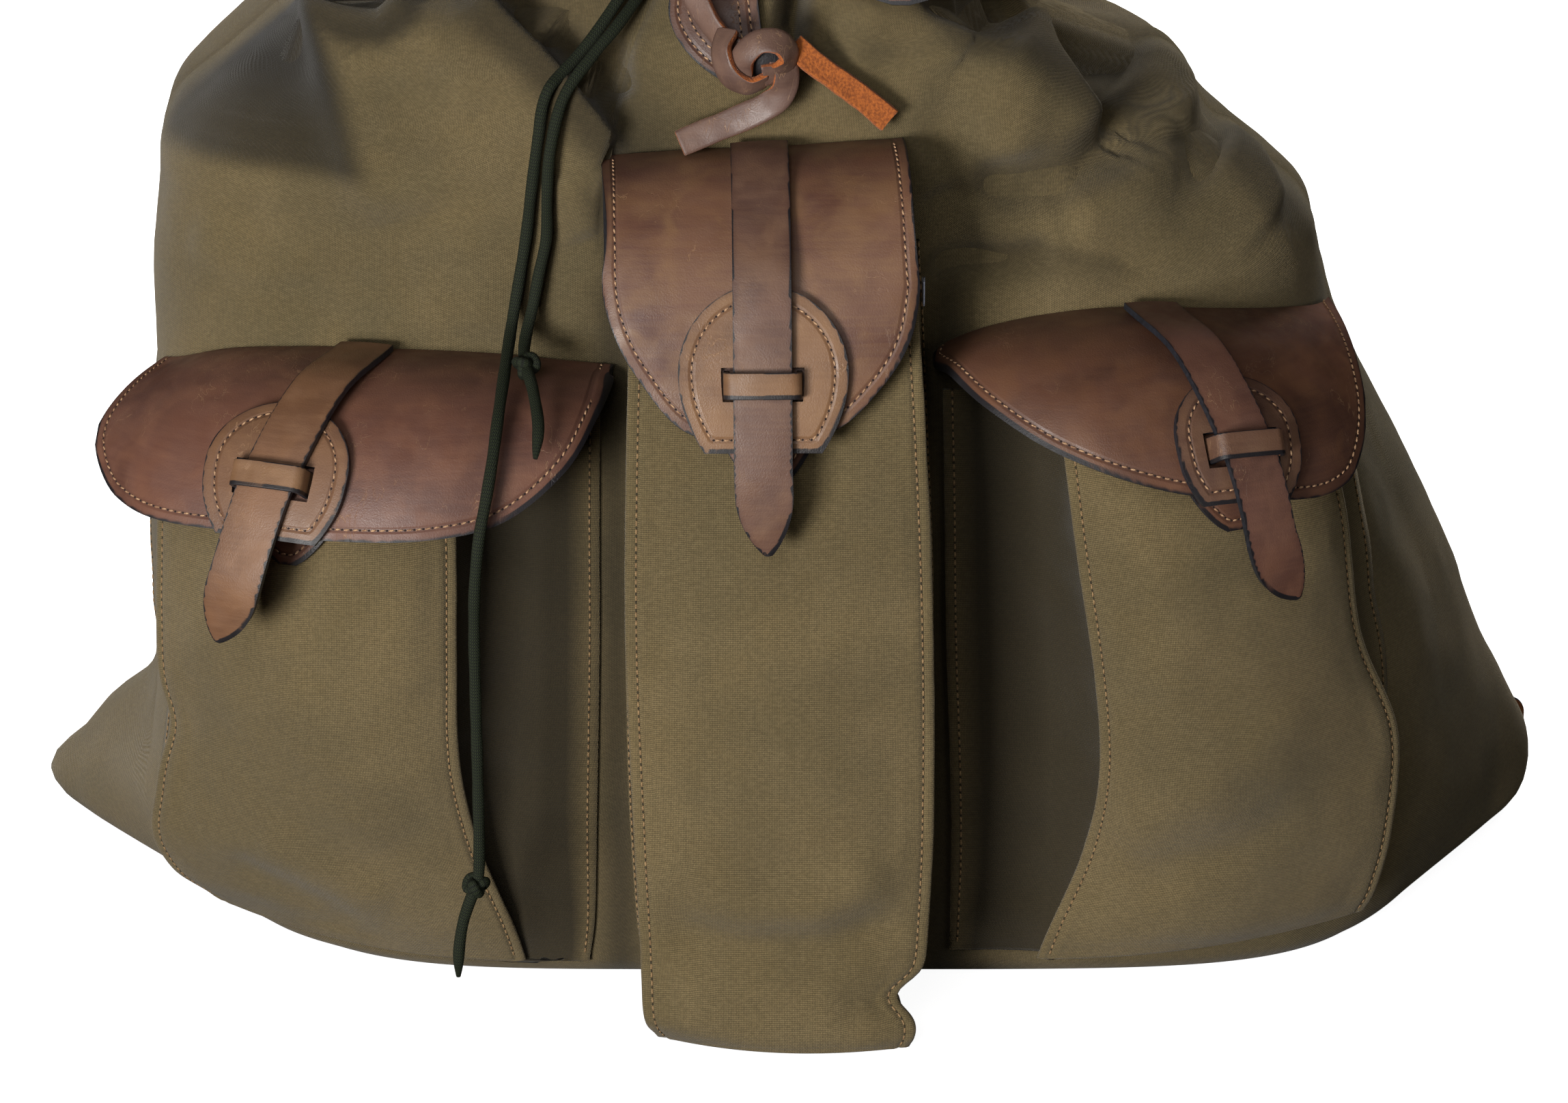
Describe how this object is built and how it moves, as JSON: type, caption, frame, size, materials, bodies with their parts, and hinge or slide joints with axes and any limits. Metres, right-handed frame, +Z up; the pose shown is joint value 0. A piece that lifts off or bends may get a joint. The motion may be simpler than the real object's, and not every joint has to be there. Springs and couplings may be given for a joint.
{
  "type": "canvas rucksack",
  "caption": "Soft canvas rucksack with a drawn neck, leather lid and three flapped pockets closed by straps and keepers.",
  "frame": {"origin": "centre of the footprint of the rucksack's box, on the surface that it stands on", "axes": "+Z up, -Y towards the front with its pockets, +X to the right as seen from the front"},
  "size_m": [0.5548, 0.2969, 0.4145],
  "materials": {
    "sack_canvas": "plain-woven cotton canvas, olive brown",
    "pocket_canvas": "plain-woven cotton canvas, olive brown, topstitched in tan thread",
    "flap_leather": "oiled brown leather with black painted edges",
    "tab_leather": "oiled tan leather, stitched, black painted edges",
    "strap_leather": "oiled tan leather, black painted edges",
    "lace_leather": "raw orange-tan suede with a dark grain side",
    "lid_leather": "oiled brown leather with a black painted edge",
    "carry_leather": "oiled brown leather",
    "braided_cord": "braided cord, dark green",
    "tag_cloth": "plain white woven tape"
  },
  "bodies": {
    "root": {"sack": "sack_canvas", "pocket_centre": "pocket_canvas", "pocket_left": "pocket_canvas", "pocket_right": "pocket_canvas", "flap_centre": "flap_leather", "flap_left": "flap_leather", "flap_right": "flap_leather", "tab_centre": "tab_leather", "tab_left": "tab_leather", "tab_right": "tab_leather", "anchor_centre": "flap_leather", "anchor_left": "flap_leather", "anchor_right": "flap_leather", "keeper_centre": "tab_leather", "keeper_left": "tab_leather", "keeper_right": "tab_leather", "strap_centre": "strap_leather", "strap_left": "strap_leather", "strap_right": "strap_leather", "neck_patch": "flap_leather", "lace": "lace_leather", "drawcord_long": "braided_cord", "drawcord_short": "braided_cord", "lid": "lid_leather", "yoke": "carry_leather", "shoulder_strap_left": "carry_leather", "shoulder_strap_right": "carry_leather", "corner_tab_left": "carry_leather", "corner_tab_right": "carry_leather", "side_tag": "tag_cloth"}
  },
  "joints": []
}
